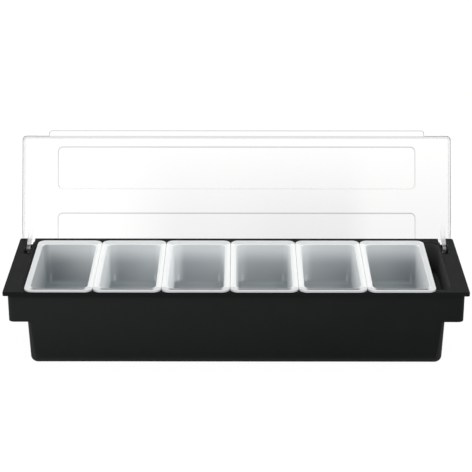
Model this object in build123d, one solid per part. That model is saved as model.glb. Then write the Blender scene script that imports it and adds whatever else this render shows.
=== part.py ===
from build123d import *
import math
import os

os.makedirs("parts", exist_ok=True)

# A bar garnish tray: a black moulded base, six lift-out inserts in a row, and a
# clear lid that swings open over the back edge on two pins. Millimetres.
# The origin is the centre of the rim's outline, at the height of the underside.
# +X runs along the row, -Y is the front, +Z is up. The lid is modelled shut and
# then swung open, which is how the tray stands at rest.

# Base: the rim, its lip and the shape of the tub under it
TRAY_LENGTH = 495.0
TRAY_DEPTH = 150.0
TRAY_HEIGHT = 88.0
RIM_CORNER = 2.5
RIM_EDGE = 4.5
RIM_ROOT = 7.0
RIM_ROUND = 1.0
BASE_WALL = 2.5
BASE_FLOOR = 3.0

# Base: the opening that the inserts hang in
END_SHELF = 18.5
FRONT_LEDGE = 7.5
BACK_LEDGE = 13.1
OPENING_CORNER = 10.0

# Base: the end grips, which are hollow from below, and the narrower tub
GRIP_OVERHANG = 4.0
GRIP_DROP = 37.2
GRIP_INSET = 0.8
GRIP_CORNER = 6.0
GRIP_BACK_STEP = 1.3
TUB_STEP = 22.6
TUB_TAPER = 2.5
TUB_FRONT_TAPER = 2.4
TUB_CORNER = 8.0
TUB_BOTTOM_ROUND = 7.0
TUB_INNER_ROUND = 4.5

# Hinge: the pin's place, the pockets in the shelves and the lid's arms
PIN_RADIUS = 2.0
PIN_RUNNING_CLEARANCE = 0.06
PIN_SEAT_CLEARANCE = 0.02
PIN_TO_BACK = 16.0
PIN_DROP = 7.1
PIN_SEAT_DEPTH = 1.2
PIN_END_INSET = 0.6
ARM_THICKNESS = 4.0
ARM_SIDE_CLEARANCE = 0.3
ARM_EYE_RADIUS = 3.6
ARM_STOP_CLEARANCE = 0.3
ARM_FOOT_SHARE = 0.45
PLATE_RISE_SHARE = 0.828
POCKET_WIDTH = 7.3
POCKET_OUTER_WALL = 5.1
NOTCH_WIDENING = 1.0
POCKET_LENGTH = 33.2
POCKET_DEPTH = 13.3
POCKET_FLOOR = 2.0
OVERRUN = 4.0

# Inserts: one moulded pan, six times over
INSERT_COUNT = 6
INSERT_RIM_THICKNESS = 1.9
INSERT_RIM_CORNER = 8.5
INSERT_RIM_ROUND = 0.7
INSERT_END_FLAT = 4.2
INSERT_SIDE_FLAT = 3.6
INSERT_SPACING = 0.3
INSERT_WALL = 1.6
INSERT_SIDE_INSET = 4.4
INSERT_END_INSET = 7.8
INSERT_CORNER = 9.0
INSERT_DRAFT_ANGLE = 3.0
INSERT_BOTTOM_ROUND = 7.0
INSERT_FRONT_CLEARANCE = 0.1
INSERT_BACK_MARGIN = 10.9
INSERT_FLOOR_CLEARANCE = 37.0
ROW_LEFT_GAP = 4.0
ROW_RIGHT_GAP = 16.8
FLARE_FOOT = 0.4

# Lid: a clear plate with a low skirt, two raised panels and a lifting lip
LID_PLATE = 2.4
LID_SKIRT = 2.6
LID_SIDE_MARGIN = 2.4
LID_CORNER = 4.6
LID_ROUND = 0.6
LID_SWING_CLEARANCE = 0.35
LID_SEAT_CLEARANCE = 0.2
LID_OPEN_ANGLE = 114.0
LID_FRONT_MARGIN = 3.8
LID_LIP_END_MARGIN = 30.0
LID_LIP_DEPTH = 6.5
LID_LIP_THICKNESS = 1.8
LID_LIP_CORNER = 3.5
LID_SKIRT_BACK_END = 14.0
LID_SKIRT_TAPER = 7.0
PANEL_END_MARGIN = 40.3
FRONT_PANEL_SHARE = 0.405
PANEL_GAP_SHARE = 0.236
PANEL_RISE = 0.8
PANEL_ROUND = 0.5
PANEL_CORNER = 5.5
PANEL_FRONT_MARGIN = 12.3
GATE_RADIUS = 3.0
GATE_RISE = 0.5
GATE_MARGIN = 10.4
ARM_ROOT_FRONT = 26.8
ARM_KNEE_FRONT = 4.8
ARM_KNEE_RISE = 1.8

# Places worked out from the sizes above
HALF_LENGTH = TRAY_LENGTH / 2
FRONT_EDGE = -TRAY_DEPTH / 2
BACK_EDGE = TRAY_DEPTH / 2
OPENING_END = HALF_LENGTH - END_SHELF
OPENING_FRONT = FRONT_EDGE + FRONT_LEDGE
OPENING_BACK = BACK_EDGE - BACK_LEDGE
TUB_FRONT = OPENING_FRONT - BASE_WALL
TUB_BACK = OPENING_BACK + BASE_WALL
TUB_END = HALF_LENGTH - TUB_STEP
GRIP_END = HALF_LENGTH - GRIP_OVERHANG
GRIP_FRONT = TUB_FRONT + GRIP_INSET
GRIP_BACK = TUB_BACK + GRIP_BACK_STEP
GRIP_BOTTOM = TRAY_HEIGHT - GRIP_DROP
STEP_TOP = GRIP_BOTTOM + BASE_WALL
PIN_Y = BACK_EDGE - PIN_TO_BACK
PIN_Z = TRAY_HEIGHT - PIN_DROP
POCKET_OUTER = GRIP_END - POCKET_OUTER_WALL
POCKET_INNER = POCKET_OUTER - POCKET_WIDTH
POCKET_BACK = GRIP_BACK - BASE_WALL
POCKET_BOTTOM = TRAY_HEIGHT - POCKET_DEPTH
ARM_OUTER = POCKET_OUTER - ARM_SIDE_CLEARANCE
ROW_LENGTH = 2 * OPENING_END - ROW_LEFT_GAP - ROW_RIGHT_GAP
INSERT_PITCH = (ROW_LENGTH + INSERT_SPACING) / INSERT_COUNT
INSERT_RIM_WIDTH = INSERT_PITCH - INSERT_SPACING
INSERT_RIM_LENGTH = TRAY_DEPTH - INSERT_FRONT_CLEARANCE - INSERT_BACK_MARGIN
INSERT_DEPTH = TRAY_HEIGHT - BASE_FLOOR - INSERT_FLOOR_CLEARANCE
INSERT_FIRST_X = -OPENING_END + ROW_LEFT_GAP + INSERT_RIM_WIDTH / 2
INSERT_Y = FRONT_EDGE + INSERT_FRONT_CLEARANCE + INSERT_RIM_LENGTH / 2

# Lean of the open lid from upright, and the plate's height above the pin, which
# leaves the open plate just behind the rim's back edge
LEAN = math.radians(LID_OPEN_ANGLE - 90.0)
PLATE_ABOVE_PIN = PLATE_RISE_SHARE * PIN_TO_BACK
PLATE_Z = PIN_Z + PLATE_ABOVE_PIN

# The plate stops short of the pin, so that it swings over the rim's back edge,
# and the arms' knees come to rest in the notches when the lid is open
RIM_SWING_RADIUS = math.hypot(PIN_TO_BACK - RIM_ROUND, PIN_DROP - RIM_ROUND) + RIM_ROUND
PLATE_SHORT = math.sqrt((RIM_SWING_RADIUS + LID_SWING_CLEARANCE) ** 2 - PLATE_ABOVE_PIN**2)
KNEE_OPEN_RISE = ARM_KNEE_FRONT * math.cos(LEAN) - ARM_KNEE_RISE * math.sin(LEAN)
NOTCH_BOTTOM = PIN_Z + KNEE_OPEN_RISE - ARM_STOP_CLEARANCE
LID_FRONT = FRONT_EDGE + LID_FRONT_MARGIN
LID_BACK = PIN_Y - PLATE_SHORT
LID_END = HALF_LENGTH - LID_SIDE_MARGIN
LIP_END = LID_END - LID_LIP_END_MARGIN
LID_DEPTH = LID_BACK - LID_FRONT
FRONT_PANEL_DEPTH = FRONT_PANEL_SHARE * LID_DEPTH
PANEL_GAP = PANEL_GAP_SHARE * LID_DEPTH
PANEL_LENGTH = 2 * (LID_END - PANEL_END_MARGIN)


def span_box(x_low, x_high, y_low, y_high, z_low, z_high):
    """A block given by its lowest and highest corners."""
    block = Box(x_high - x_low, y_high - y_low, z_high - z_low)
    return Pos((x_low + x_high) / 2, (y_low + y_high) / 2, (z_low + z_high) / 2) * block


def outline(length, front, back, corner, z):
    """A rounded rectangle centred on X, from front to back, at height z."""
    return Pos(0, (front + back) / 2, z) * RectangleRounded(length, back - front, corner)


def taper(lower, upper):
    """A solid between two outlines at different heights."""
    return loft([lower, upper])


def rim():
    """The flat rim with a rounded top edge and an underside that slopes in."""
    top = extrude(outline(TRAY_LENGTH, FRONT_EDGE, BACK_EDGE, RIM_CORNER, TRAY_HEIGHT - RIM_EDGE), RIM_EDGE)
    top = fillet(top.edges().group_by(Axis.Z)[-1], RIM_ROUND)
    slope_root = outline(2 * GRIP_END, GRIP_FRONT, GRIP_BACK, GRIP_CORNER, TRAY_HEIGHT - RIM_ROOT)
    slope_top = outline(TRAY_LENGTH, FRONT_EDGE, BACK_EDGE, RIM_CORNER, TRAY_HEIGHT - RIM_EDGE)
    return top + taper(slope_root, slope_top)


def tub_outside():
    """The grips' block and the narrower, tapered tub that stands on the bar."""
    grips = extrude(
        outline(2 * GRIP_END, GRIP_FRONT, GRIP_BACK, GRIP_CORNER, GRIP_BOTTOM),
        TRAY_HEIGHT - RIM_ROOT - GRIP_BOTTOM,
    )
    top = outline(2 * TUB_END, TUB_FRONT, TUB_BACK, TUB_CORNER, TRAY_HEIGHT - RIM_EDGE)
    bottom = outline(
        2 * (TUB_END - TUB_TAPER), TUB_FRONT + TUB_FRONT_TAPER, TUB_BACK - TUB_FRONT_TAPER, TUB_CORNER, 0
    )
    tub = taper(bottom, top)
    tub = fillet(tub.edges().group_by(Axis.Z)[0], TUB_BOTTOM_ROUND)
    return grips + tub


def tub_inside():
    """The wide upper opening and the narrower well below the step."""
    upper = extrude(
        outline(2 * OPENING_END, OPENING_FRONT, OPENING_BACK, OPENING_CORNER, STEP_TOP),
        TRAY_HEIGHT - STEP_TOP + OVERRUN,
    )
    inner_end = TUB_END - BASE_WALL
    top = outline(2 * inner_end, OPENING_FRONT, OPENING_BACK, TUB_CORNER - BASE_WALL, STEP_TOP)
    bottom = outline(
        2 * (inner_end - TUB_TAPER),
        OPENING_FRONT + TUB_FRONT_TAPER,
        OPENING_BACK - TUB_FRONT_TAPER,
        TUB_CORNER - BASE_WALL,
        BASE_FLOOR,
    )
    well = taper(bottom, top)
    well = fillet(well.edges().group_by(Axis.Z)[0], TUB_INNER_ROUND)
    return upper + well


def grip_hollow():
    """The finger hollow under the right-hand shelf, shallower under the hinge pocket."""
    inner = OPENING_END + BASE_WALL
    outer = GRIP_END - BASE_WALL
    front = GRIP_FRONT + BASE_WALL
    back = GRIP_BACK - BASE_WALL
    pocket_front = POCKET_BACK - POCKET_LENGTH - BASE_WALL
    deep = span_box(inner, outer, front, pocket_front, GRIP_BOTTOM - OVERRUN, TRAY_HEIGHT - RIM_EDGE)
    low_roof = POCKET_BOTTOM - POCKET_FLOOR
    shallow = span_box(inner, outer, pocket_front, back, GRIP_BOTTOM - OVERRUN, low_roof)
    return deep + shallow


def hinge_pocket():
    """The slot that the lid's right-hand arm works in, and its notch through the back."""
    front = POCKET_BACK - POCKET_LENGTH
    top = TRAY_HEIGHT + OVERRUN
    pocket = span_box(POCKET_INNER, POCKET_OUTER, front, POCKET_BACK, POCKET_BOTTOM, top)
    notch_inner = POCKET_INNER - NOTCH_WIDENING
    notch = span_box(notch_inner, POCKET_OUTER, POCKET_BACK, GRIP_BACK, NOTCH_BOTTOM, top)
    overhang_bottom = TRAY_HEIGHT - RIM_ROOT - OVERRUN
    overhang = span_box(notch_inner, POCKET_OUTER, GRIP_BACK, BACK_EDGE + OVERRUN, overhang_bottom, top)
    return pocket + notch + overhang


def pin_rod(radius, start, end):
    """A rod along X on the hinge line, from start to end."""
    place = Plane(origin=(start, PIN_Y, PIN_Z), x_dir=(0, 1, 0), z_dir=(1, 0, 0))
    return extrude(place * Circle(radius), end - start)


def both_ends(piece):
    """The piece and its mirror image at the other end of the tray."""
    return [piece, mirror(piece, about=Plane.YZ)]


def base_tray():
    """The whole moulded base."""
    solid = rim() + tub_outside() - tub_inside()
    pin_hole = pin_rod(PIN_RADIUS + PIN_SEAT_CLEARANCE, POCKET_INNER - PIN_SEAT_DEPTH, HALF_LENGTH)
    for cut in (grip_hollow(), hinge_pocket(), pin_hole):
        for side in both_ends(cut):
            solid -= side
    return solid


def hinge_pin():
    """The right-hand pin, from its blind seat in the inner wall to the grip's face."""
    seat = POCKET_INNER - PIN_SEAT_DEPTH + PIN_SEAT_CLEARANCE
    pin = pin_rod(PIN_RADIUS, seat, GRIP_END - PIN_END_INSET)
    return chamfer(pin.edges().group_by(Axis.X)[-1], PIN_END_INSET / 2)


def insert_pan():
    """One insert, centred on its rim in X and Y, with its rim's underside at z = 0."""
    width = INSERT_RIM_WIDTH
    length = INSERT_RIM_LENGTH
    edge = extrude(RectangleRounded(width, length, INSERT_RIM_CORNER), INSERT_RIM_THICKNESS)
    edge = fillet(edge.edges().group_by(Axis.Z)[-1], INSERT_RIM_ROUND)
    body_width = width - 2 * INSERT_SIDE_INSET
    body_length = length - 2 * INSERT_END_INSET
    narrowing = 2 * INSERT_DEPTH * math.tan(math.radians(INSERT_DRAFT_ANGLE))
    top = RectangleRounded(body_width, body_length, INSERT_CORNER)
    bottom = Pos(0, 0, -INSERT_DEPTH) * RectangleRounded(
        body_width - narrowing, body_length - narrowing, INSERT_CORNER
    )
    body = taper(bottom, top)
    body = fillet(body.edges().group_by(Axis.Z)[0], INSERT_BOTTOM_ROUND)
    walls = 2 * INSERT_WALL
    inner_corner = INSERT_CORNER - INSERT_WALL
    inner_width = body_width - walls
    inner_length = body_length - walls
    inner_top = Pos(0, 0, FLARE_FOOT) * RectangleRounded(inner_width, inner_length, inner_corner)
    inner_bottom = Pos(0, 0, INSERT_WALL - INSERT_DEPTH) * RectangleRounded(
        inner_width - narrowing, inner_length - narrowing, inner_corner
    )
    cavity = taper(inner_bottom, inner_top)
    cavity = fillet(cavity.edges().group_by(Axis.Z)[0], INSERT_BOTTOM_ROUND - INSERT_WALL)
    mouth = Pos(0, 0, INSERT_RIM_THICKNESS) * RectangleRounded(
        width - 2 * INSERT_SIDE_FLAT, length - 2 * INSERT_END_FLAT, INSERT_CORNER
    )
    flare = taper(inner_top, mouth)
    return edge + body - cavity - flare


def lid_plate():
    """The shut lid's plate with its rounded front corners, the lip and two panels.

    The back panel runs out over the plate's back end."""
    plate = span_box(-LID_END, LID_END, LID_FRONT, LID_BACK, PLATE_Z, PLATE_Z + LID_PLATE)
    plate = fillet(plate.edges().filter_by(Axis.Z).group_by(Axis.Y)[0], LID_CORNER)
    lip = span_box(
        -LIP_END,
        LIP_END,
        LID_FRONT - LID_LIP_DEPTH,
        LID_FRONT + LID_SKIRT,
        PLATE_Z + LID_PLATE - LID_LIP_THICKNESS,
        PLATE_Z + LID_PLATE,
    )
    lip = fillet(lip.edges().filter_by(Axis.Z).group_by(Axis.Y)[0], LID_LIP_CORNER)
    solid = plate + lip
    solid = fillet(solid.edges().group_by(Axis.Z)[-1], LID_ROUND)
    panel_front = LID_FRONT + PANEL_FRONT_MARGIN
    panel_back = panel_front + FRONT_PANEL_DEPTH
    run_out = LID_BACK + PANEL_CORNER
    for low, high in ((panel_front, panel_back), (panel_back + PANEL_GAP, run_out)):
        panel = extrude(outline(PANEL_LENGTH, low, high, PANEL_CORNER, PLATE_Z + LID_PLATE), PANEL_RISE)
        solid += fillet(panel.edges().group_by(Axis.Z)[-1], PANEL_ROUND)
    solid -= span_box(-LID_END, LID_END, LID_BACK, run_out + OVERRUN, PLATE_Z, PLATE_Z + LID_PLATE + OVERRUN)
    gate = Pos(0, panel_back + GATE_MARGIN, PLATE_Z + LID_PLATE) * Circle(GATE_RADIUS)
    return solid + extrude(gate, GATE_RISE)


def lid_skirt():
    """The low skirt along the front and both ends, which slopes away before the hinge."""
    side_bottom = TRAY_HEIGHT + LID_SEAT_CLEARANCE
    front_bottom = TRAY_HEIGHT + INSERT_RIM_THICKNESS + LID_SEAT_CLEARANCE
    outer = span_box(-LID_END, LID_END, LID_FRONT, LID_BACK, side_bottom, PLATE_Z)
    outer = fillet(outer.edges().filter_by(Axis.Z).group_by(Axis.Y)[0], LID_CORNER)
    inner_end = LID_END - LID_SKIRT
    inner = span_box(
        -inner_end, inner_end, LID_FRONT + LID_SKIRT, LID_BACK + OVERRUN, side_bottom - OVERRUN, PLATE_Z
    )
    inner = fillet(inner.edges().filter_by(Axis.Z).group_by(Axis.Y)[0], LID_CORNER - LID_SKIRT)
    skirt = outer - inner
    skirt -= span_box(
        -OPENING_END, OPENING_END, LID_FRONT - OVERRUN, LID_FRONT + LID_SKIRT, side_bottom - OVERRUN, front_bottom
    )
    back_end = PIN_Y - LID_SKIRT_BACK_END
    slope = Polyline(
        (0, back_end - LID_SKIRT_TAPER, side_bottom - OVERRUN),
        (0, back_end - LID_SKIRT_TAPER, side_bottom),
        (0, back_end, PLATE_Z),
        (0, LID_BACK + OVERRUN, PLATE_Z),
        (0, LID_BACK + OVERRUN, side_bottom - OVERRUN),
        close=True,
    )
    return skirt - extrude(make_face(slope), LID_END + OVERRUN, dir=(1, 0, 0), both=True)


def lid_arm():
    """The right-hand arm: an eye round the pin, widening up to its root under the plate."""
    eye_low = ARM_FOOT_SHARE * ARM_EYE_RADIUS
    eye_side = math.sqrt(ARM_EYE_RADIUS**2 - eye_low**2)
    web = Polyline(
        (0, PIN_Y - ARM_ROOT_FRONT, PLATE_Z),
        (0, LID_BACK, PLATE_Z),
        (0, PIN_Y - ARM_KNEE_FRONT, PIN_Z + ARM_KNEE_RISE),
        (0, PIN_Y, PIN_Z + ARM_EYE_RADIUS),
        (0, PIN_Y - eye_low, PIN_Z - eye_side),
        close=True,
    )
    web = Pos(ARM_OUTER - ARM_THICKNESS, 0, 0) * extrude(make_face(web), ARM_THICKNESS, dir=(1, 0, 0))
    return web + pin_rod(ARM_EYE_RADIUS, ARM_OUTER - ARM_THICKNESS, ARM_OUTER)


def lid():
    """The whole lid, swung from shut to open about the pins."""
    solid = lid_plate() + lid_skirt()
    for arm in both_ends(lid_arm()):
        solid += arm
    for bore in both_ends(pin_rod(PIN_RADIUS + PIN_RUNNING_CLEARANCE, POCKET_INNER, POCKET_OUTER)):
        solid -= bore
    return solid.rotate(Axis((0, PIN_Y, PIN_Z), (1, 0, 0)), -LID_OPEN_ANGLE)


def save(piece, name):
    """Writes one piece to its own file."""
    piece.label = name
    export_step(piece, f"parts/{name}.step")


save(base_tray(), "base_tray")
pan = insert_pan()
for number in range(INSERT_COUNT):
    place = Pos(INSERT_FIRST_X + number * INSERT_PITCH, INSERT_Y, TRAY_HEIGHT)
    save(place * pan, f"insert_{number + 1}")
save(lid(), "lid")
for pin, side in zip(both_ends(hinge_pin()), ("right", "left")):
    save(pin, f"hinge_pin_{side}")
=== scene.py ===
import math
from collections import namedtuple

import bpy
from mathutils import Euler, Matrix, Vector


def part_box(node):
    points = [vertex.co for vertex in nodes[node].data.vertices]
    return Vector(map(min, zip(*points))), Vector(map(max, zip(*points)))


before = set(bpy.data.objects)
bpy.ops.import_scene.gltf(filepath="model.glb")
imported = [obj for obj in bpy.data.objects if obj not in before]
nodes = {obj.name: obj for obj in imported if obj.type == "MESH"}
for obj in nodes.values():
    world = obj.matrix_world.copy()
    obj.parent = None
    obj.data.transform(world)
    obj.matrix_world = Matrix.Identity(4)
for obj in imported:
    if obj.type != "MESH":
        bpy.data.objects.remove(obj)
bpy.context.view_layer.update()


def colour(red, green, blue):
    return (red, green, blue, 1.0)


def grey(level):
    return colour(level, level, level)


PANS = [f"insert_{number}" for number in range(1, 7)]
PINS = ["hinge_pin_left", "hinge_pin_right"]
RIM_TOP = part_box("base_tray")[1].z
LID_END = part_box("lid")[1].x

# The photograph's camera: its focal length in pixels of a 472 pixel frame, its sensor in
# millimetres, its place and what it sees in metres, and its pitch, turn and roll in degrees
FRAME_PIXELS = 472
FOCAL_PIXELS = 1567
SENSOR = 36.0
CAMERA_AT = Vector((-0.0003, -1.583, RIM_TOP + 0.686))
CAMERA_PITCH = 22.395
CAMERA_TURN = 0.20
CAMERA_ROLL = -0.03
NEAREST_SEEN = 0.05
FARTHEST_SEEN = 30.0

# The studio: each lamp's name, place, target, size and power, the light from all round,
# and the pale paper that the tray stands on
LAMPS = (
    ("soft_top", (0.0, 0.35, 1.5), (0.0, 0.0, 0.05), (1.8, 1.0), 9.0),
    ("soft_left", (-1.5, -1.1, 0.8), (0.0, 0.0, 0.05), (0.8, 0.8), 4.0),
    ("soft_right", (1.4, 0.3, 0.9), (0.0, 0.0, 0.08), (0.8, 0.8), 4.0),
)
LIGHT_ALL_ROUND = 0.50
PAPER_HALF = 4.0
PAPER_TINT = grey(0.65)
PAPER_GLOW = 1.06
PAPER_GLOW_SHARE = 0.92

# In every pair of distances below, a shade starts at the first and is full at the second.
# They are in metres, and depths go down from the top of the base's rim.

# The black base: the opening that the pans hang in and how far outside it its walls lie,
# then the painted light on those walls, the painted shade on top of the rim and the painted
# light on the faces below the rim
OPENING_END = 0.2290
OPENING_FRONT = -0.0675
OPENING_BACK = 0.0619
OPENING_OUTSIDE = (0.0004, 0.0001)
OPENING_DEPTH = (0.0003, 0.0008)
OPENING_LIT_DEPTH = (0.045, 0.010)
OPENING_LEAST = 0.25
OPENING_PAINTED_LIGHT = grey(0.095)
BASE_RIM_DEPTH = (0.0012, 0.0004)
BASE_RIM_SHADE_SHARE = 0.42
BASE_RIM_PAINTED_SHADE = grey(0.006)
BASE_FACE_DEPTH = (0.0045, 0.0110)
BASE_FACE_PAINTED_LIGHT = colour(0.0375, 0.0415, 0.0400)
FACE_LIGHT = 0.27
FACE_LIGHT_LEFTWARD = 1.1
FACE_LIGHT_UPWARD = 4.0
FACE_LIGHT_HEIGHT = 0.045
BLACK_DARK = colour(0.0127, 0.0143, 0.0138)
BLACK_LIGHT = colour(0.0181, 0.0200, 0.0192)
BLACK_CLOUD = 38.0
BASE_GRAIN = 1500.0
PIN_GRAIN = 2500.0

# The row of white pans, in painted shade and light: the further out a pan hangs, in either
# half of the row, the darker the painted shade in its back wall's outer corner and the paler the rest
# of that wall
Half = namedtuple("Half", "corner corner_outward pale_outward")
LEFT_HALF = Half(corner=0.30, corner_outward=3.8, pale_outward=0.15)
RIGHT_HALF = Half(corner=0.05, corner_outward=4.6, pale_outward=0.06)
PALE = 0.52
PALE_REACH = 0.11
PALE_GREEN = 0.03
PALE_BLUE = 0.04
ROW_END = 0.15

# How much painted light (emission) a pan's left and right walls give, by its place along the row
LEFT_GLOW = 0.085
LEFT_GLOW_PEAK = 0.125
LEFT_GLOW_PEAK_AT = -0.041
LEFT_GLOW_PEAK_REACH = 0.06
LEFT_GLOW_RIGHTWARD = 0.45
LEFT_GLOW_FIRST_PAN = 0.022
RIGHT_GLOW = 0.05
RIGHT_GLOW_FROM = -0.187
RIGHT_GLOW_FALL = 0.15

# A pan's walls and floor: sideways from its middle, where left is below zero, or outward
# along the row, and down from the base's rim or up from the pan's underside
PAN_CORNER = (-0.030, 0.026)
PAN_SIDE = (0.0262, 0.0295)
PAN_LEFT_WALL = (-0.0220, -0.0285)
PAN_LEFT_TURN = (-0.0150, -0.0255)
PAN_RIGHT_WALL = (0.0220, 0.0285)
PAN_UPPER_DEPTH = (0.024, 0.001)
PAN_GLOW_DEPTH = (0.038, 0.002)
PAN_RIGHT_GLOW_DEPTH = (0.043, 0.018)
PAN_FLOOR_RISE = (0.0075, 0.0030)
# Painted shade and light on the walls: the outer back corner, the upper back wall and the side walls,
# then the painted shade on the first pan's left wall and on the floor
PAN_CORNER_PAINTED_SHADE = colour(0.31, 0.34, 0.36)
PAN_CORNER_UPPER = colour(0.74, 0.78, 0.80)
PAN_BACK_UPPER = colour(0.89, 0.92, 0.93)
PAN_SIDE_DEEP_SHADE = colour(0.79, 0.82, 0.83)
PAN_SIDE_UPPER = colour(0.92, 0.93, 0.93)
PAN_LEFT_PAINTED_SHADE = colour(0.22, 0.25, 0.26)
PAN_LEFT_SHARE = 0.68
PAN_FLOOR_PAINTED_SHADE = colour(0.28, 0.32, 0.33)
PAN_FLOOR_SHARE = 0.62
PAN_CLOUD_TINT = colour(0.70, 0.73, 0.76)
PAN_CLOUD_SHARE = 0.06
PAN_CLOUD = 22.0
PAN_GRAIN = 260.0
# Painted light (emission) on the walls, how much less of it high up on the left wall, and its tint
PAN_GLOW = 0.075
PAN_TURN_FADE = 0.35
PAN_GLOW_TINT = colour(0.98, 1.0, 1.01)

# A pan's rim: its height, how far from the pan's middle its ends, its end faces, its outer
# edge and its shoulders lie, and where the painted shade on the lip inside its front end lies
PAN_RIM_DEPTH = (-0.0002, -0.0010)
PAN_RIM_END = (0.0575, 0.0610)
PAN_END_FACE = (0.0687, 0.0692)
PAN_END_FACE_BELOW = (0.0004, 0.0009)
PAN_RIM_OUTER = (0.0300, 0.0320)
PAN_SHOULDER = (0.0305, 0.0325)
PAN_INNER_HALF = (0.0, -0.010)
# The painted light (emission) on the rim's shoulders, the rim's white, and the painted shade that
# greys its ends and outer edges
PAN_SHOULDER_GLOW = 0.05
PAN_RIM_TINT = colour(0.97, 0.98, 0.98)
PAN_RIM_END_PAINTED_SHADE = colour(0.76, 0.78, 0.79)
PAN_RIM_OUTER_PAINTED_SHADE = colour(0.78, 0.80, 0.81)
PAN_LIP_FRONT = (-0.0675, -0.0663)
PAN_LIP_BACK = (-0.0570, -0.0600)
PAN_LIP_ENDS = (0.0300, 0.0255)
PAN_LIP_PAINTED_SHADE = colour(0.08, 0.09, 0.10)

# The painted glints (emission) low down in a pan's two back corners
GLINT = 0.11
GLINT_ROW_END = 0.07
GLINT_FROM_MIDDLE = 0.0231
GLINT_WIDTH = (0.0015, 0.0004)
GLINT_BEHIND = (0.0, 0.010)
GLINT_FOOT = (0.0035, 0.0060)
GLINT_HEAD = (0.0150, 0.0095)

# The open lid: its hinge line, the way up along its plate, and the outlines moulded in it,
# each with its half length, its near and far edges from the hinge and its corner radius
HINGE = Vector((0, 0.059, RIM_TOP - 0.0071))
LID_LEAN = math.radians(24.0)
LID_UP = Vector((0, math.sin(LID_LEAN), math.cos(LID_LEAN)))
Outline = namedtuple("Outline", "half near far corner")
LIP_FROM_END = 0.0300
PANEL_FROM_END = 0.0403
LID_OUTLINE = Outline(half=LID_END, near=-0.02, far=0.1302, corner=0.0046)
LIP_OUTLINE = Outline(half=LID_END - LIP_FROM_END, near=0.1252, far=0.1367, corner=0.0035)
FRONT_PANEL = Outline(half=LID_END - PANEL_FROM_END, near=0.0698, far=0.1179, corner=0.0055)
BACK_PANEL = Outline(half=LID_END - PANEL_FROM_END, near=0.0060, far=0.0418, corner=0.0055)

# How much of the light each line of painted shade on the lid keeps back, where its edges and
# moulded outlines turn, and where the line lies: beside its outline, above the far edge of the lid or
# of a panel, or along the lid
EDGE_LINE = (-0.0029, -0.0017)
EDGE_TOP = (-0.0060, -0.0040)
EDGE_KEEPS = 0.10
EDGE_TOP_KEEPS = 0.15
LIP_START = (0.0001, 0.0005)
LIP_LINE = (0.0012, 0.0003)
LIP_RIGHT = (-0.19, 0.06)
LIP_KEEPS = 0.07
LIP_RIGHT_KEEPS = 0.11
PANEL_LINE = (0.0013, 0.0003)
PANEL_NEAR = 0.002
PANEL_FAR = (-0.004, -0.001)
PANEL_RIGHT = (-0.20, -0.05)
PANEL_LEAST = 0.25
PANEL_UPWARD = 0.20
PANEL_FAR_MORE = 0.30
PANEL_RIGHT_MORE = 0.25
FRONT_PANEL_KEEPS = 0.24
BACK_PANEL_KEEPS = 0.27

# The lid's faint painted shade: from the left to its middle, less at the right, and more low down
SHADE_LEFT = (-0.16, -0.05)
SHADE_LEFT_SHARE = 0.75
SHADE_MIDDLE = (-0.03, 0.07)
SHADE_MIDDLE_SHARE = 0.25
SHADE_RIGHT = (0.12, 0.16)
SHADE_RIGHT_LESS = 0.45
SHADE_DOWN = (0.150, 0.000)
SHADE_KEEPS = 0.19

# The lid's arms: their inner and outer faces from the middle, how far up the arms, the
# painted shade at their roots and their frosted eyes reach, and the rest of the lid's finish
ARM_INNER = 0.2338
ARM_INNER_FACE = (-0.0002, 0.0)
ARM_OUTER_FACE = (0.2386, 0.2384)
ARM_REACH = (0.030, 0.026)
ARM_ROUGHNESS = 0.45
ARM_ROOT = (0.0135, 0.0110)
ARM_ROOT_FACE = (-0.0003, -0.0001)
ARM_ROOT_KEEPS = 0.35
ARM_EYE = (0.0050, 0.0020)
ARM_EYE_FROST = 0.30
ARM_EYE_TINT = grey(0.75)
LID_TINT = colour(1.0, 0.999, 0.994)
LID_RIPPLE = 14.0


class Level:
    """A number socket that takes part in Python sums."""

    def __init__(self, finish, socket):
        self.finish = finish
        self.socket = socket

    def combine(self, operation, first, second=0.0):
        node = self.finish.add("ShaderNodeMath", {"operation": operation}, {0: first, 1: second})
        return node[0]

    def __add__(self, other):
        return self.combine("ADD", self, other)

    def __radd__(self, other):
        return self.combine("ADD", other, self)

    def __sub__(self, other):
        return self.combine("SUBTRACT", self, other)

    def __rsub__(self, other):
        return self.combine("SUBTRACT", other, self)

    def __mul__(self, other):
        return self.combine("MULTIPLY", self, other)

    def __rmul__(self, other):
        return self.combine("MULTIPLY", other, self)

    def __abs__(self):
        return self.combine("ABSOLUTE", self)

    def at_least(self, other):
        return self.combine("MAXIMUM", self, other)

    def at_most(self, other):
        return self.combine("MINIMUM", self, other)

    def root(self):
        return self.combine("SQRT", self)


class Made:
    """A node that has been added, whose outputs are read by name or number."""

    def __init__(self, finish, node):
        self.finish = finish
        self.node = node

    def __getitem__(self, name):
        return Level(self.finish, self.node.outputs[name])


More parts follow.
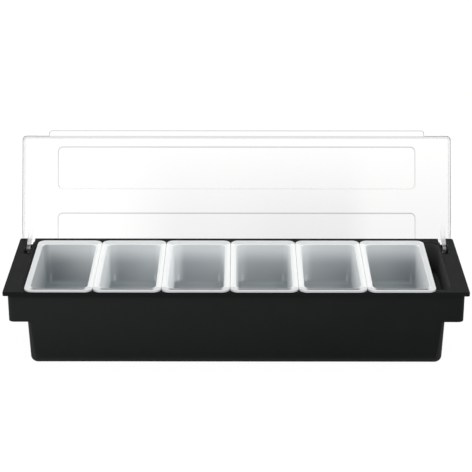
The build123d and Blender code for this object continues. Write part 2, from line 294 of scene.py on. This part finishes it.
class Finish:
    """A material's or the world's node tree, and the one way to add a node to it."""

    def __init__(self, owner):
        owner.use_nodes = True
        self.owner = owner
        self.tree = owner.node_tree
        self.tree.nodes.clear()

    def add(self, kind, settings=None, inputs=None):
        node = self.tree.nodes.new(kind)
        for name, value in (settings or {}).items():
            setattr(node, name, value)
        for name, value in (inputs or {}).items():
            if isinstance(value, Level):
                self.tree.links.new(value.socket, node.inputs[name])
            else:
                node.inputs[name].default_value = value
        return Made(self, node)

    def place(self, axis=None):
        """The point on the piece, as it lies at rest, in metres, or one axis of it."""
        point = self.add("ShaderNodeTexCoord")["Object"]
        if axis is None:
            return point
        return self.add("ShaderNodeSeparateXYZ", {}, {0: point})[axis]

    def along(self, start, way):
        """How far the point lies along a direction from a starting point."""
        subtract = {"operation": "SUBTRACT"}
        reach = self.add("ShaderNodeVectorMath", subtract, {0: self.place(), 1: start})[0]
        dot = {"operation": "DOT_PRODUCT"}
        return self.add("ShaderNodeVectorMath", dot, {0: reach, 1: way})["Value"]

    def ramp(self, level, low, high):
        """0 at low, 1 at high, and smooth between them."""
        settings = {"clamp": True, "interpolation_type": "SMOOTHSTEP"}
        inputs = {"Value": level, "From Min": low, "From Max": high}
        return self.add("ShaderNodeMapRange", settings, inputs)["Result"]

    def blend(self, share, first, second):
        """Two colours mixed by a share."""
        settings = {"data_type": "RGBA"}
        return self.add("ShaderNodeMix", settings, {"Factor": share, 6: first, 7: second})[2]

    def noise(self, scale, detail=2.0, roughness=0.5):
        inputs = {"Vector": self.place(), "Scale": scale, "Detail": detail, "Roughness": roughness}
        return self.add("ShaderNodeTexNoise", {}, inputs)["Fac"]

    def bump(self, height, strength, distance):
        inputs = {"Height": height, "Strength": strength, "Distance": distance}
        return self.add("ShaderNodeBump", {}, inputs)["Normal"]

    def mix_shaders(self, share, first, second):
        return self.add("ShaderNodeMixShader", {}, {0: share, 1: first, 2: second})["Shader"]

    def surface(self, shader, output="ShaderNodeOutputMaterial"):
        self.add(output, {}, {"Surface": shader})
        return self.owner

    def seen(self):
        """1 for rays that show the background: straight, mirrored or through the lid."""
        rays = self.add("ShaderNodeLightPath")
        straight_or_mirrored = rays["Is Camera Ray"].at_least(rays["Is Glossy Ray"])
        return straight_or_mirrored.at_least(rays["Is Transmission Ray"])


def painted_opening_light(finish, depth):
    """Painted light: 1 on the walls of the opening that the pans hang in, and less deep down."""
    walls = finish.ramp(abs(finish.place("X")) - OPENING_END, *OPENING_OUTSIDE)
    walls = walls * finish.ramp(OPENING_FRONT - finish.place("Y"), *OPENING_OUTSIDE)
    walls = walls * finish.ramp(finish.place("Y") - OPENING_BACK, *OPENING_OUTSIDE)
    lit = OPENING_LEAST + (1.0 - OPENING_LEAST) * finish.ramp(depth, *OPENING_LIT_DEPTH)
    return walls * finish.ramp(depth, *OPENING_DEPTH) * lit


def painted_face_light(finish, height, depth):
    """Painted light: how much lighter the faces below the rim are, more to the left and upwards, and
    none on the rim itself.
    """
    light = FACE_LIGHT - FACE_LIGHT_LEFTWARD * finish.place("X")
    light = light + FACE_LIGHT_UPWARD * (height - FACE_LIGHT_HEIGHT)
    return (light * finish.ramp(depth, *BASE_FACE_DEPTH)).at_least(0.0)


def black_moulded(name, grain):
    """Black moulded plastic with a fine spark grain and a little unevenness in its sheen, with
    painted light on the opening's walls and the faces below the rim, and painted shade on top of the
    rim.
    """
    finish = Finish(bpy.data.materials.new(name))
    height = finish.place("Z")
    depth = RIM_TOP - height
    cloud = finish.noise(BLACK_CLOUD, detail=3.0)
    tint = finish.blend(cloud, BLACK_DARK, BLACK_LIGHT)
    # Painted light on the faces below the rim
    tint = finish.blend(painted_face_light(finish, height, depth), tint, BASE_FACE_PAINTED_LIGHT)
    # Painted shade on the top of the rim
    tint = finish.blend(BASE_RIM_SHADE_SHARE * finish.ramp(depth, *BASE_RIM_DEPTH), tint, BASE_RIM_PAINTED_SHADE)
    # Painted light on the walls of the opening, less deep down
    tint = finish.blend(painted_opening_light(finish, depth), tint, OPENING_PAINTED_LIGHT)
    shader = finish.add("ShaderNodeBsdfPrincipled", {}, {
        "Base Color": tint,
        "Roughness": 0.50 + 0.12 * cloud,
        "Specular IOR Level": 0.04,
        "Normal": finish.bump(finish.noise(grain, roughness=0.6), strength=0.10, distance=0.0004),
    })
    return finish.surface(shader["BSDF"])


class Pan:
    """A pan's finish, its place along the row, and where a point lies on the pan."""

    def __init__(self, name):
        low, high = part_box(name)
        middle = (low + high) / 2
        away = 1 if middle.x > 0 else -1
        finish = Finish(bpy.data.materials.new(f"{name}_plastic"))
        height = finish.place("Z")
        self.finish = finish
        self.along_row = middle.x
        self.row_end = abs(middle.x) > ROW_END
        self.half = RIGHT_HALF if middle.x > 0 else LEFT_HALF
        self.run = finish.place("X") - middle.x
        self.outward = away * self.run
        self.behind = finish.place("Y") - middle.y
        self.depth = RIM_TOP - height
        self.rise = height - low.z
        self.upper = finish.ramp(self.depth, *PAN_UPPER_DEPTH)
        self.floor = finish.ramp(self.rise, *PAN_FLOOR_RISE)
        self.rim = finish.ramp(self.depth, *PAN_RIM_DEPTH)
        from_middle = abs(self.behind)
        face = finish.ramp(from_middle, *PAN_END_FACE)
        face = face * finish.ramp(high.z - height, *PAN_END_FACE_BELOW)
        self.rim_end = finish.ramp(from_middle, *PAN_RIM_END) * (1.0 - face)


def pan_walls(pan):
    """The walls and floor, greyed deep down partly by the dark tub round them and partly by painted
    shade, most in the outer back corner, with painted light high up and on the side walls.
    """
    finish = pan.finish
    out = abs(pan.along_row)
    # Painted shade in the outer back corner, more the further out the pan hangs
    corner = finish.ramp(pan.outward, *PAN_CORNER)
    corner = corner * min(1.0, pan.half.corner + pan.half.corner_outward * out)
    pale = PALE + pan.half.pale_outward * min(1.0, out / PALE_REACH)
    back = finish.blend(corner, colour(pale, pale + PALE_GREEN, pale + PALE_BLUE), PAN_CORNER_PAINTED_SHADE)
    # Painted light high up on the back wall and the side walls
    back = finish.blend(pan.upper, back, finish.blend(corner, PAN_BACK_UPPER, PAN_CORNER_UPPER))
    sides = finish.blend(pan.upper, PAN_SIDE_DEEP_SHADE, PAN_SIDE_UPPER)
    # The side walls are paler than the back wall: painted light
    walls = finish.blend(finish.ramp(abs(pan.outward), *PAN_SIDE), back, sides)
    # Painted shade on the first pan's left wall
    if pan.row_end and pan.along_row < 0:
        left = finish.ramp(pan.run, *PAN_LEFT_WALL)
        walls = finish.blend(PAN_LEFT_SHARE * left, walls, PAN_LEFT_PAINTED_SHADE)
    # The floor greyed partly by the dark tub below and partly by painted shade
    return finish.blend(PAN_FLOOR_SHARE * pan.floor, walls, PAN_FLOOR_PAINTED_SHADE)


def pan_rim(pan):
    """The white rim, with painted shade greying its ends and, at the row's ends, its outer edge, and
    painted shade along the lip inside its front end.
    """
    finish = pan.finish
    rim = finish.blend(pan.rim_end, PAN_RIM_TINT, PAN_RIM_END_PAINTED_SHADE)
    if pan.row_end:
        rim = finish.blend(finish.ramp(pan.outward, *PAN_RIM_OUTER), rim, PAN_RIM_OUTER_PAINTED_SHADE)
    # Painted shade along the lip inside the front end
    lip = finish.ramp(pan.behind, *PAN_LIP_FRONT) * finish.ramp(pan.behind, *PAN_LIP_BACK)
    lip = lip * finish.ramp(abs(pan.outward), *PAN_LIP_ENDS)
    return finish.blend(lip, rim, PAN_LIP_PAINTED_SHADE)


def left_glow(pan):
    """How much painted light (emission) the left wall gives, most near the middle of the row."""
    if pan.row_end:
        return LEFT_GLOW_FIRST_PAN if pan.along_row < 0 else 0.0
    peak = max(0.0, 1.0 - abs(pan.along_row - LEFT_GLOW_PEAK_AT) / LEFT_GLOW_PEAK_REACH)
    return LEFT_GLOW + LEFT_GLOW_PEAK * peak + LEFT_GLOW_RIGHTWARD * max(0.0, pan.along_row)


def right_glow(pan):
    """How much painted light (emission) the right wall gives, less towards the right of the row."""
    return max(0.0, RIGHT_GLOW - RIGHT_GLOW_FALL * (pan.along_row - RIGHT_GLOW_FROM))


def pan_glow(pan):
    """Painted light (emission) on the walls, and on the shoulders of the rim."""
    finish = pan.finish
    left = finish.ramp(pan.run, *PAN_LEFT_TURN) * (1.0 - PAN_TURN_FADE * pan.upper)
    right = finish.ramp(pan.run, *PAN_RIGHT_WALL) * finish.ramp(pan.depth, *PAN_RIGHT_GLOW_DEPTH)
    walls = PAN_GLOW * finish.ramp(pan.depth, *PAN_GLOW_DEPTH)
    walls = walls + left_glow(pan) * left + right_glow(pan) * right
    walls = walls * (1.0 - pan.rim) * (1.0 - pan.floor)
    # Painted light (emission) on the rim's shoulders, on the inner half only for the pans at the
    # row's ends
    shoulders = finish.ramp(abs(pan.outward), *PAN_SHOULDER) * (1.0 - pan.rim_end)
    if pan.row_end:
        shoulders = shoulders * finish.ramp(pan.outward, *PAN_INNER_HALF)
    return walls + PAN_SHOULDER_GLOW * shoulders * pan.rim


def pan_glints(pan):
    """The painted glints (emission) low down in the two back corners, fainter at the ends of the row.
    """
    finish = pan.finish
    glint = finish.ramp(abs(abs(pan.run) - GLINT_FROM_MIDDLE), *GLINT_WIDTH)
    glint = glint * finish.ramp(pan.behind, *GLINT_BEHIND)
    glint = glint * finish.ramp(pan.rise, *GLINT_FOOT) * finish.ramp(pan.rise, *GLINT_HEAD)
    return (GLINT_ROW_END if pan.row_end else GLINT) * glint


def white_moulded(name):
    """White plastic, greyed partly by the dark tub round it and partly by painted shade, with painted
    light (emission) where light would come through its thin walls, and painted glints.
    """
    pan = Pan(name)
    finish = pan.finish
    cloud = finish.noise(PAN_CLOUD)
    tint = finish.blend(pan.rim, pan_walls(pan), pan_rim(pan))
    # Painted light (emission) from the walls, the rim's shoulders and the glints
    glow = pan_glow(pan) + pan_glints(pan)
    shader = finish.add("ShaderNodeBsdfPrincipled", {}, {
        "Base Color": finish.blend(PAN_CLOUD_SHARE * cloud, tint, PAN_CLOUD_TINT),
        "Roughness": 0.26 + 0.08 * cloud,
        "Specular IOR Level": 0.40,
        "Emission Color": finish.blend(glow, grey(0.0), PAN_GLOW_TINT),
        "Emission Strength": 1.0,
        "Normal": finish.bump(finish.noise(PAN_GRAIN), strength=0.04, distance=0.0003),
    })
    return finish.surface(shader["BSDF"])


def outside(across, along, outline):
    """How far a point lies outside a rounded outline on the lid, negative inside it."""
    wide = across - (outline.half - outline.corner)
    middle = (outline.near + outline.far) / 2
    tall = abs(along - middle) - ((outline.far - outline.near) / 2 - outline.corner)
    beyond = wide.at_least(0) * wide.at_least(0) + tall.at_least(0) * tall.at_least(0)
    return beyond.root() + wide.at_least(tall).at_most(0) - outline.corner


def lid_edges(finish, run, across, along):
    """How much light the painted shade along the edges of the lid and of its lifting lip lets
    through.
    """
    above = along - LID_OUTLINE.far
    on_lip = finish.ramp(above, *LIP_START)
    edge = finish.ramp(outside(across, along, LID_OUTLINE), *EDGE_LINE) * (1.0 - on_lip)
    clear = 1.0 - edge * (EDGE_KEEPS + EDGE_TOP_KEEPS * finish.ramp(above, *EDGE_TOP))
    lip = finish.ramp(abs(outside(across, along, LIP_OUTLINE)), *LIP_LINE) * on_lip
    return clear * (1.0 - lip * (LIP_KEEPS + LIP_RIGHT_KEEPS * finish.ramp(run, *LIP_RIGHT)))


def lid_panel(finish, run, across, along, panel, keeps):
    """How much light the painted shade along the outline of a raised panel lets through."""
    line = finish.ramp(abs(outside(across, along, panel)), *PANEL_LINE)
    share = PANEL_LEAST + PANEL_UPWARD * finish.ramp(along, panel.near + PANEL_NEAR, panel.far)
    far_more = PANEL_FAR_MORE + PANEL_RIGHT_MORE * finish.ramp(run, *PANEL_RIGHT)
    share = share + far_more * finish.ramp(along - panel.far, *PANEL_FAR)
    return 1.0 - line * share * keeps


def lid_shade(finish, run, along):
    """How much light the painted shade on the plate lets through, a little less over its middle and
    low down.
    """
    shade = SHADE_LEFT_SHARE * finish.ramp(run, *SHADE_LEFT)
    shade = shade + SHADE_MIDDLE_SHARE * finish.ramp(run, *SHADE_MIDDLE)
    shade = shade * (1.0 - SHADE_RIGHT_LESS * finish.ramp(run, *SHADE_RIGHT))
    return 1.0 - SHADE_KEEPS * shade * finish.ramp(along, *SHADE_DOWN)


def clear_moulded():
    """Clear polished plastic with painted shade where its edges and moulded outlines turn, over its
    middle, low down and at the roots of its arms.
    """
    finish = Finish(bpy.data.materials.new("clear_lid_plastic"))
    run = finish.place("X")
    across = abs(run)
    along = finish.along(HINGE, LID_UP)
    # Painted shade along the edges, the lifting lip and the panels' outlines
    clear = lid_edges(finish, run, across, along)
    clear = clear * lid_panel(finish, run, across, along, FRONT_PANEL, FRONT_PANEL_KEEPS)
    clear = clear * lid_panel(finish, run, across, along, BACK_PANEL, BACK_PANEL_KEEPS)
    # Painted shade over the plate's middle and low down
    clear = clear * lid_shade(finish, run, along)
    from_arm = across - ARM_INNER
    # Painted shade at the roots of the arms
    root = finish.ramp(along, *ARM_ROOT) * finish.ramp(from_arm, *ARM_ROOT_FACE)
    clear = clear * (1.0 - ARM_ROOT_KEEPS * root)
    arm = finish.ramp(from_arm, *ARM_INNER_FACE) * finish.ramp(across, *ARM_OUTER_FACE)
    arm = arm * finish.ramp(along, *ARM_REACH)
    ripple = finish.noise(LID_RIPPLE, detail=1.0)
    plastic = finish.add("ShaderNodeBsdfPrincipled", {}, {
        "Base Color": finish.blend(clear, grey(0.0), LID_TINT),
        "Roughness": 0.02 + 0.02 * ripple + ARM_ROUGHNESS * arm,
        "IOR": 1.49,
        "Transmission Weight": 1.0,
        "Normal": finish.bump(ripple, strength=0.03, distance=0.002),
    })
    frosted = finish.add("ShaderNodeBsdfDiffuse", {}, {"Color": ARM_EYE_TINT})
    eye = ARM_EYE_FROST * finish.ramp(along, *ARM_EYE)
    return finish.surface(finish.mix_shaders(eye, plastic["BSDF"], frosted["BSDF"]))


def dress(names, material):
    for name in names:
        slots = nodes[name].data.materials
        slots.clear()
        slots.append(material)


def studio_floor():
    """Pale paper that shows white but keeps a faint shadow of the tray."""
    half = PAPER_HALF
    mesh = bpy.data.meshes.new("studio_floor")
    corners = [(-half, -half, 0), (half, -half, 0), (half, half, 0), (-half, half, 0)]
    mesh.from_pydata(corners, [], [(0, 1, 2, 3)])
    floor = bpy.data.objects.new("studio_floor", mesh)
    bpy.context.scene.collection.objects.link(floor)
    finish = Finish(bpy.data.materials.new("studio_paper"))
    plain = finish.add("ShaderNodeBsdfDiffuse", {}, {"Color": PAPER_TINT})
    white = finish.add("ShaderNodeEmission", {}, {"Color": grey(1.0), "Strength": PAPER_GLOW})
    share = PAPER_GLOW_SHARE * finish.seen()
    mesh.materials.append(finish.surface(finish.mix_shaders(share, plain["BSDF"], white["Emission"])))


def studio_world():
    """White where it is seen, and a softer white as light."""
    world = bpy.data.worlds.new("studio_world")
    bpy.context.scene.world = world
    finish = Finish(world)
    strength = LIGHT_ALL_ROUND + (1.0 - LIGHT_ALL_ROUND) * finish.seen()
    light = finish.add("ShaderNodeBackground", {}, {"Color": grey(1.0), "Strength": strength})
    finish.surface(light["Background"], "ShaderNodeOutputWorld")


def softbox(name, place, target, size, power):
    lamp = bpy.data.lights.new(name, "AREA")
    lamp.shape = "RECTANGLE"
    lamp.size, lamp.size_y = size
    lamp.energy = power
    box = bpy.data.objects.new(name, lamp)
    box.location = place
    box.rotation_euler = (Vector(target) - Vector(place)).to_track_quat("-Z", "Y").to_euler()
    bpy.context.scene.collection.objects.link(box)


def photograph_camera():
    camera = bpy.data.cameras.new("photograph_camera")
    camera.sensor_width = SENSOR
    camera.lens = FOCAL_PIXELS / FRAME_PIXELS * SENSOR
    camera.clip_start = NEAREST_SEEN
    camera.clip_end = FARTHEST_SEEN
    stand = bpy.data.objects.new("photograph_camera", camera)
    tilt = Euler((math.radians(90.0 - CAMERA_PITCH), 0.0, 0.0)).to_matrix()
    roll = Matrix.Rotation(math.radians(CAMERA_ROLL), 3, "Z")
    turn = Matrix.Rotation(math.radians(CAMERA_TURN), 4, "Z")
    stand.matrix_world = turn @ Matrix.Translation(CAMERA_AT) @ (tilt @ roll).to_4x4()
    bpy.context.scene.collection.objects.link(stand)
    bpy.context.scene.camera = stand


bpy.context.scene.view_settings.view_transform = "Standard"
photograph_camera()
studio_world()
studio_floor()
for lamp in LAMPS:
    softbox(*lamp)

dress(["base_tray"], black_moulded("black_tray_plastic", BASE_GRAIN))
dress(PINS, black_moulded("black_pin_plastic", PIN_GRAIN))
for pan_name in PANS:
    dress([pan_name], white_moulded(pan_name))
dress(["lid"], clear_moulded())
# Light goes through the clear lid, which would otherwise throw a dark shadow
nodes["lid"].visible_shadow = False
